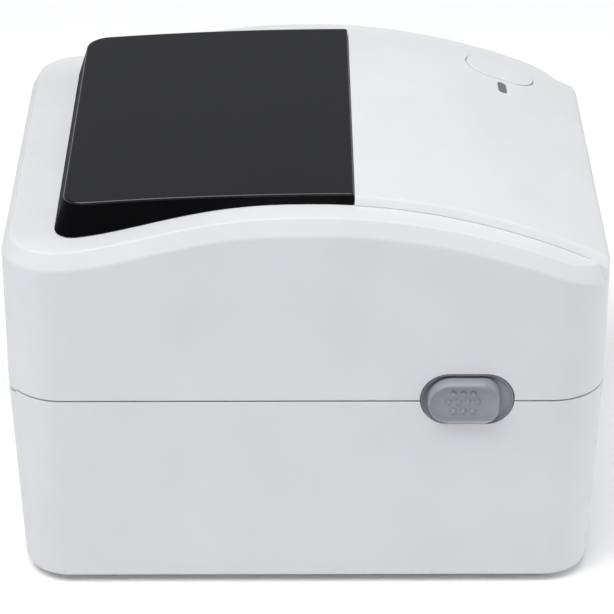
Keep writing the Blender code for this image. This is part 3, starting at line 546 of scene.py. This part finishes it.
def make_cover_shell(material):
    """The cover: an open box from its ceiling round by the seam to its rim, with the raised front added."""
    rings = []
    for inset, drop in CEILING:
        rings.append(case_ring(inset, lambda y, drop=drop: rim_height(y) - drop))
    rings.append(case_ring(COVER_WALL, lambda y: COVER_BOTTOM + EDGE))
    rings.append(case_ring(COVER_WALL - EDGE, lambda y: COVER_BOTTOM))
    for inset, drop in reversed(quarter(EDGE, EDGE, 3)):
        rings.append(case_ring(inset, lambda y, drop=drop: COVER_BOTTOM + drop))
    for inset, drop in bevelled(RIM_WIDTH, RIM_DROP, 0.8, 0.6):
        rings.append(case_ring(inset, lambda y, drop=drop: rim_height(y) - drop))
    rings.append(case_ring(RIM_WIDTH + 1.0, rim_height))
    eyes, webs = knuckle_spaces()
    label_exit = box((-57, 57), (-112, -100), (79, 86.5))
    screw_posts = mirrored(rod("Z", 30, -70, 4.0, 113.3, 140.5))
    ridge = carve(mesh_object("ridge", raised_front()), (KEEP, raised_envelope()))
    obj = mesh_object("cover_shell", loft(rings, ladder=True))
    combine(obj, JOIN, ridge)
    carve(obj, (JOIN, hinge_barrel()), (CUT, recess_window()), (CUT, foot_groove()), (CUT, label_exit),
          (CUT, eyes), (CUT, webs), (CUT, top_holes()), (JOIN, screw_posts))
    smooth(obj, 22)
    return set_out(obj, "cover", material, "top_cover")


def make_panel(material, skirt):
    """The black panel let into the cover's top, with a steep skirt and a rounded edge. The skirt takes a
    darker black without reflections, as painted shade.
    """
    edge, gap, front_r, rear_lean = 0.9, 0.3, 0.7, 4.0

    def top(y):
        return PANEL_TOP - PANEL_FALL * (y - STEP_Y) ** 2

    def foot(y):
        return rim_height(y) + gap

    def ring(inset, height, share):
        """A ring at a share of the way from the skirt's foot (0) to its top (1)."""
        side = FOOT_X - (FOOT_X - CROWN_X - gap) * share - inset
        rear = PANEL_REAR - rear_lean * share + gap * share - inset
        chain = half_chain(side, STEP_Y + gap + inset, rear, front_r, PANEL_CORNER - inset, 44, 12)
        return ring_at(chain, height)

    rings = [
        ring(4.6, lambda y: top(y) - 2.4, 0.6),
        ring(2.2, foot, 0.0), ring(0.15, foot, 0.0), ring(0.0, lambda y: foot(y) + 0.15, 0.03),
    ]
    for inset, drop in quarter(edge, edge, 8):
        rings.append(ring(inset, lambda y, drop=drop: top(y) - drop, 1.0))
    rings.append(ring(edge + 0.6, top, 1.0))
    obj = mesh_object("panel_skin", loft(rings, ladder=True))
    smooth(obj)
    set_out(obj, "cover", material, "top_panel")
    obj.data.materials.append(skirt)
    # The faces below the rounded edge, the skirt, take the second material: painted shade
    for face in obj.data.polygons:
        centre = face.center / MM
        if centre.z < top(centre.y) - edge:
            face.material_index = 1


# Latch


# The slider's rings from its underside over its lip into the scooped face: x, inset, crown, scoop
SLIDER_RINGS = (
    (88.0, 0.6, 1.2, 0), (88.3, 0.1, 1.3, 0), (89.0, 0.05, 1.2, 0), (90.4, 0.15, 0.75, 0),
    (91.5, 0.35, 0.3, 0), (91.85, 0.5, 0.1, 0), (SLIDER_HIGH.x, 0.75, 0, 0), (91.95, 0.95, 0, 0),
    (91.5, 1.15, 0, 0.1), (90.9, 1.35, 0, 0.7), (90.55, 1.6, 0, 1.6), (90.45, 2.0, 0, 2.8),
)
DOME_X, DOME_R, DOME_HEIGHT, DOME_Y = 90.4, 1.2, 0.85, -56.35
DOME_ROWS = ((3.9, (-3.5, 0, 3.5)), (0.8, (-5.25, -1.75, 1.75, 5.25)), (-3.1, (-3.5, 0, 3.5)))
CUP_FLOOR = 87.2


def slider_outline(inset, crown, scoop):
    """The slider seen from the side: a half-round rear end and a front end with tighter corners.

    crown raises its upper edge; scoop draws in its ends and its lower edge."""
    y0, y1 = SLIDER_LOW.y + inset + scoop, SLIDER_HIGH.y - inset - scoop
    z0, z1 = SLIDER_LOW.z + inset + scoop, SLIDER_HIGH.z - inset + crown
    rear_r = (z1 - z0) / 2
    front_r = min(rear_r, max(2.0, 6.4 - inset))
    rear_y, front_y = y1 - rear_r, y0 + front_r
    return (arc(rear_y, z1 - rear_r, rear_r, 0, 12) + arc(front_y, z1 - front_r, front_r, 90, 12)
            + arc(front_y, z0 + front_r, front_r, 180, 12) + arc(rear_y, z0 + rear_r, rear_r, 270, 12))


def dome(x, y, z, radius, height):
    """A low round bump on a face at x, sunk a little into it."""
    rings = []
    for i in range(6):
        a = math.radians(88 * i / 5)
        rings.append(set_along("X", x + height * math.sin(a), circle(y, z, radius * math.cos(a), 20)))
    return loft([set_along("X", x - 0.4, circle(y, z, radius, 20))] + rings)


def make_latches(material):
    """Each side's slider, with ten domes on its face, and its cup."""
    dome_z = (SLIDER_LOW.z + SLIDER_HIGH.z) / 2
    for side, label in ((-1, "left"), (1, "right")):
        body = loft([set_along("X", x, slider_outline(*shape)) for x, *shape in SLIDER_RINGS])
        domes = []
        for up, row in DOME_ROWS:
            domes += [dome(DOME_X, DOME_Y + along, dome_z + up, DOME_R, DOME_HEIGHT) for along in row]
        stem = box((74, 88.4), (-58.4, -55.4), (79, 82))
        obj = mesh_object(f"latch_key_{label}", flipped(body, side))
        carve(obj, (JOIN, flipped(together(*domes), side)), (JOIN, flipped(stem, side)))
        smooth(obj, 35)
        set_out(obj, f"latch_{label}", material, f"latch_button_{label}")
        make_cup(side, label, material)


def make_cup(side, label, material):
    """The grey cup that lines the recess, on a plate inside the wall."""
    length, height = RECESS_LENGTH - 0.6, RECESS_HEIGHT - 0.6

    def rim(x, grow):
        return set_along("X", x, oval(RECESS_Y, RECESS_Z, length + 2 * grow, height + 2 * grow, 24))

    outer = loft([rim(84.6, 0), rim(88.3, 0), rim(88.46, -0.1), rim(88.5, -0.25)])
    hollow = loft([
        rim(CUP_FLOOR, -2.4), rim(CUP_FLOOR + 0.2, -1.5), rim(CUP_FLOOR + 0.7, -0.95), rim(88.2, -0.5),
        rim(88.4, -0.42), rim(88.55, -0.3), rim(95, -0.3),
    ])
    slot = box((82, 88), (-63.6, -54.8), (78.2, 82.8))
    plate = box((83.0, 84.8), (-79, -37), (69, 94))
    obj = mesh_object(f"latch_cup_{label}", flipped(plate, side))
    carve(obj, (JOIN, flipped(outer, side)), (CUT, flipped(hollow, side)), (CUT, flipped(slot, side)))
    smooth(obj, 35)
    set_out(obj, "cover", material, f"latch_housing_{label}")


# Feed button and light


def oval_stack(x, size, levels, count):
    """A slot-shaped plug about x in the button's frame, from (z, inset) levels."""
    rings = []
    for z, inset in levels:
        rings.append([(a, b, z) for a, b in oval(x, 0, size[0] - 2 * inset, size[1] - 2 * inset, count)])
    return loft(rings)


def make_feed_button(material):
    levels = ((-7.6, 0), (-0.2, 0), (0.0, 0.06), (0.15, 0.25), (0.2, 0.6), (0.25, 3))
    obj = mesh_object("feed_key", button_frame(oval_stack(0, BUTTON_SIZE, levels, 24)))
    flange = prism(oval(0, 0, BUTTON_SIZE[0] + 3, BUTTON_SIZE[1] + 3, 24), "Z", -7.9, -6.7)
    carve(obj, (JOIN, button_frame(flange)))
    smooth(obj)
    set_out(obj, "feed_button", material, "feed_button")


def make_light_window(material):
    levels = ((-9.5, 0), (-0.55, 0), (-0.35, 0.12), (-0.3, 0.4))
    obj = mesh_object("light_window", button_frame(oval_stack(LED_X - BUTTON_X, LED_SIZE, levels, 16)))
    smooth(obj)
    set_out(obj, "cover", material, "led_lens")


# Materials


class Surface:
    """A Principled material under construction: its node tree, shader and object coordinates."""

    def __init__(self, name, roughness, metallic=0.0, specular=0.5):
        self.made = bpy.data.materials.new(name)
        self.made.use_nodes = True
        self.nodes, self.links = self.made.node_tree.nodes, self.made.node_tree.links
        self.shader = self.nodes["Principled BSDF"]
        self.shader.inputs["Metallic"].default_value = metallic
        self.shader.inputs["Roughness"].default_value = roughness
        self.shader.inputs["Specular IOR Level"].default_value = specular
        self.place = self.nodes.new("ShaderNodeTexCoord").outputs["Object"]
        self.height = None

    def stretched(self, scale):
        """Object coordinates scaled by three numbers."""
        node = self.nodes.new("ShaderNodeMapping")
        node.inputs["Scale"].default_value = scale
        self.links.new(self.place, node.inputs["Vector"])
        return node.outputs["Vector"]

    def noise(self, size, detail, place=None):
        """Noise whose blobs are about size millimetres across."""
        node = self.nodes.new("ShaderNodeTexNoise")
        node.inputs["Scale"].default_value = 1 / (size * MM)
        node.inputs["Detail"].default_value = detail
        self.links.new(place or self.place, node.inputs["Vector"])
        return node.outputs["Fac"]

    def spread(self, value, low, high):
        """A noise value, mostly between 0.3 and 0.7, spread over low to high."""
        node = self.nodes.new("ShaderNodeMapRange")
        for socket, number in (("From Min", 0.3), ("From Max", 0.7), ("To Min", low), ("To Max", high)):
            node.inputs[socket].default_value = number
        self.links.new(value, node.inputs["Value"])
        return node.outputs["Result"]

    def mix(self, value, first, second):
        """A blend of two colours by a value."""
        node = self.nodes.new("ShaderNodeMix")
        node.data_type = "RGBA"
        self.links.new(value, node.inputs["Factor"])
        for socket, colour in (("A", first), ("B", second)):
            target = next(s for s in node.inputs if s.name == socket and s.type == "RGBA")
            target.default_value = (*colour, 1.0)
        return next(s for s in node.outputs if s.type == "RGBA")

    def colour(self, source):
        self.links.new(source, self.shader.inputs["Base Color"])

    def rough(self, source):
        self.links.new(source, self.shader.inputs["Roughness"])

    def bump(self, value, depth, strength=1.0):
        """Adds relief of a depth in millimetres."""
        node = self.nodes.new("ShaderNodeBump")
        node.inputs["Distance"].default_value = depth * MM
        node.inputs["Strength"].default_value = strength
        self.links.new(value, node.inputs["Height"])
        if self.height:
            self.links.new(self.height, node.inputs["Normal"])
        self.height = node.outputs["Normal"]
        self.links.new(self.height, self.shader.inputs["Normal"])


def shade(colour, factor):
    return tuple(min(1.0, c * factor) for c in colour)


def moulded(name, colour, roughness, grain=0.35, depth=0.012, variation=0.02, **options):
    """Moulded plastic: a fine eroded grain, faint flow mottling and uneven gloss."""
    surface = Surface(name, roughness, **options)
    broad = surface.spread(surface.noise(28, 2), 0, 1)
    surface.colour(surface.mix(broad, shade(colour, 1 - variation), shade(colour, 1 + variation)))
    surface.rough(surface.spread(surface.noise(5, 4), roughness - 0.04, roughness + 0.05))
    surface.bump(surface.noise(grain, 2), depth)
    surface.bump(surface.noise(14, 1), 0.02, 0.3)
    return surface.made


def metal(name, colour, roughness, along, depth=0.004):
    """Drawn or machined metal, with its scratches stretched along one axis."""
    surface = Surface(name, roughness, metallic=1.0)
    streaks = surface.noise(0.6, 4, surface.stretched(along))
    surface.colour(surface.mix(surface.noise(9, 3), shade(colour, 0.86), shade(colour, 1.06)))
    surface.rough(surface.spread(streaks, roughness - 0.08, roughness + 0.12))
    surface.bump(streaks, depth)
    return surface.made


def make_materials():
    """Every material, by the name its slot and INNER_FINISHES use."""
    gloss = {"grain": 2.0, "depth": 0.004, "variation": 0.1}
    painted_shade_options = {"grain": 0.5, "depth": 0.01, "specular": 0.02}
    return {
        "case_white": moulded("case white", (0.68, 0.683, 0.692), 0.48, specular=0.25),
        "panel_black": moulded("panel black", (0.006, 0.006, 0.007), 0.16, **gloss),
        # The skirt's black is darker than the panel's and has almost no reflection: painted shade for the
        # panel's steep sides, in place of the panel's own gloss
        "panel_skirt_shaded": moulded("panel skirt shaded", (0.003, 0.003, 0.0035), 0.5, **painted_shade_options),
        "latch_grey": moulded("latch grey", (0.255, 0.27, 0.3), 0.3),
        "dark_plastic": moulded("dark plastic", (0.030, 0.031, 0.034), 0.5, grain=0.5, depth=0.03),
        "nylon": moulded("nylon", (0.66, 0.64, 0.57), 0.42, grain=0.8, depth=0.01),
        "rubber": moulded("rubber", (0.018, 0.018, 0.019), 0.82, grain=0.7, depth=0.05, variation=0.15),
        "steel": metal("steel", (0.60, 0.60, 0.61), 0.28, (0.05, 1, 1)),
        "aluminium": metal("aluminium", (0.75, 0.76, 0.78), 0.36, (0.04, 1, 1), 0.01),
        "board_green": moulded("board green", (0.012, 0.11, 0.045), 0.38, grain=0.9, depth=0.02),
        "ceramic": moulded("ceramic", (0.52, 0.53, 0.52), 0.22, grain=0.5, depth=0.004),
        "smoked": moulded("smoked", (0.16, 0.16, 0.17), 0.2, grain=2.0, depth=0.003),
    }


# Inner pieces

INNER_FINISHES = {
    "dark_plastic": (
        "media_tray", "print_frame", "label_guide", "head_frame", "dc_jack", "switch_frame", "power_rocker",
        "roll_holder_left", "roll_holder_right", "latch_hook_left", "latch_hook_right",
    ),
    "nylon": ("guide_pinion", "idler_gear", "platen_gear", "platen_bush_left", "platen_bush_right"),
    "steel": (
        "usb_socket", "stepper_motor", "motor_shaft", "motor_pinion", "motor_screw_front", "motor_screw_rear",
        "idler_post", "hinge_pin_left", "hinge_pin_right", "latch_catch_left", "latch_catch_right",
        "guide_pivot", "cover_screw_left", "cover_screw_right", "head_pivot_shaft", "tear_bar",
        "latch_shaft", "latch_spring", "head_spring_left", "head_spring_right", "platen_shaft",
        "case_screw_front_left", "case_screw_front_right", "case_screw_rear_left", "case_screw_rear_right",
    ),
    "rubber": ("platen_rubber", "foot_front_left", "foot_front_right", "foot_rear_left", "foot_rear_right"),
    "aluminium": ("print_head",),
    "board_green": ("main_board", "button_board"),
    "ceramic": ("thermal_strip",),
    "smoked": ("gap_sensor",),
}
COARSE = ("media_tray", "print_frame", "head_frame", "roll_holder_left", "roll_holder_right")
COARSE_EDGE, FINE_EDGE = 0.45, 0.15
HEAD_SPRINGS = ("head_spring_left", "head_spring_right")
WIRE = ("latch_spring", *HEAD_SPRINGS)


def edged_copy(node, width):
    """A new piece with a CAD node's shape, its triangles joined into faces and its edges rounded."""
    source = frame["nodes"][node]
    obj = bpy.data.objects.new(f"{node}_finished", source.data.copy())
    bpy.context.scene.collection.objects.link(obj)
    bm = bmesh.new()
    bm.from_mesh(obj.data)
    bmesh.ops.remove_doubles(bm, verts=bm.verts, dist=0.002 * MM)
    bmesh.ops.dissolve_limit(bm, angle_limit=math.radians(1), verts=bm.verts, edges=bm.edges)
    for edge in bm.edges:
        edge.smooth = True
    bm.to_mesh(obj.data)
    bm.free()
    if width:
        rounded(obj, width)
    return smooth(obj, 32, weighted=bool(width))


def make_inner_pieces(materials):
    """Every inner piece on its CAD body. The head's springs ride on the head, each with a mesh of its own."""
    bodies = frame["record"]["behaviour"]["bodies"]
    body_of = {node: name for name, nodes in bodies.items() for node in nodes}
    for slot, nodes in INNER_FINISHES.items():
        for node in nodes:
            width = 0.0 if node in WIRE else COARSE_EDGE if node in COARSE else FINE_EDGE
            obj = set_out(edged_copy(node, width), body_of[node], materials[slot], node)
            if node in HEAD_SPRINGS:
                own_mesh(obj)


# Studio, in metres

CAMERA_PLACE, CAMERA_FORWARD = (-0.96687, 0.00303, 0.60212), (0.87631, -0.00321, -0.48175)
LENS = 166.36
BACKDROP = (0.255, 0.26, 0.28, 1)
CASE_MIDDLE = (0, 0, 0.08)
FLOOR_REACH = 6000
FLOOR_GLOW = 0.03


def aim(obj, place, forward):
    """Puts a camera or light at a place, looking along a direction."""
    obj.location = place
    obj.rotation_euler = Vector(forward).to_track_quat("-Z", "Y").to_euler()


def make_camera():
    data = bpy.data.cameras.new("camera")
    data.lens, data.sensor_width = LENS, 36.0
    camera = bpy.data.objects.new("camera", data)
    bpy.context.scene.collection.objects.link(camera)
    aim(camera, CAMERA_PLACE, CAMERA_FORWARD)
    bpy.context.scene.camera = camera


def area_light(name, place, target, size, watts, colour):
    """A soft rectangular light at a place, aimed at a target."""
    data = bpy.data.lights.new(name, "AREA")
    data.shape, data.size, data.size_y = "RECTANGLE", *size
    data.energy, data.color = watts, colour
    light = bpy.data.objects.new(name, data)
    bpy.context.scene.collection.objects.link(light)
    aim(light, place, Vector(target) - Vector(place))


def make_lights():
    """A soft overhead light, two from the left and one from the front."""
    area_light("overhead", (0.1, 0, 1.6), (0, 0, 0), (1.8, 1.8), 3.5, (1.0, 0.995, 0.98))
    area_light("key", (-0.5, 0.15, 1.62), CASE_MIDDLE, (1.2, 1.2), 14.5, (1.0, 0.997, 0.985))
    area_light("rear_key", (-0.5, 0.8, 1.4), CASE_MIDDLE, (1.0, 1.0), 11.0, (0.99, 0.995, 1.0))
    area_light("front", (0.1, -1.7, 0.8), CASE_MIDDLE, (1.4, 1.0), 11.5, (0.99, 0.995, 1.0))


def make_floor():
    """A wide pale floor that glows a little, so that it stays white round the printer."""
    r = FLOOR_REACH
    floor = mesh_object("floor", ([(-r, -r, 0), (r, -r, 0), (r, r, 0), (-r, r, 0)], [(0, 1, 2, 3)]))
    paper = moulded("floor", (0.97, 0.97, 0.97), 0.9, grain=3, depth=0.02, variation=0.004, specular=0.1)
    inputs = paper.node_tree.nodes["Principled BSDF"].inputs
    inputs["Emission Color"].default_value = (1, 1, 1, 1)
    inputs["Emission Strength"].default_value = FLOOR_GLOW
    floor.data.materials.append(paper)


def make_studio():
    scene = bpy.context.scene
    scene.view_settings.view_transform = "Standard"
    world = bpy.data.worlds.new("studio")
    world.use_nodes = True
    background = world.node_tree.nodes["Background"].inputs
    background["Color"].default_value = BACKDROP
    background["Strength"].default_value = 1.0
    scene.world = world
    make_lights()
    make_floor()


def main():
    materials = make_materials()
    make_case_shell(materials["case_white"])
    make_cover_shell(materials["case_white"])
    make_panel(materials["panel_black"], materials["panel_skirt_shaded"])
    make_latches(materials["latch_grey"])
    make_feed_button(materials["case_white"])
    make_light_window(materials["smoked"])
    make_inner_pieces(materials)
    make_camera()
    make_studio()


main()
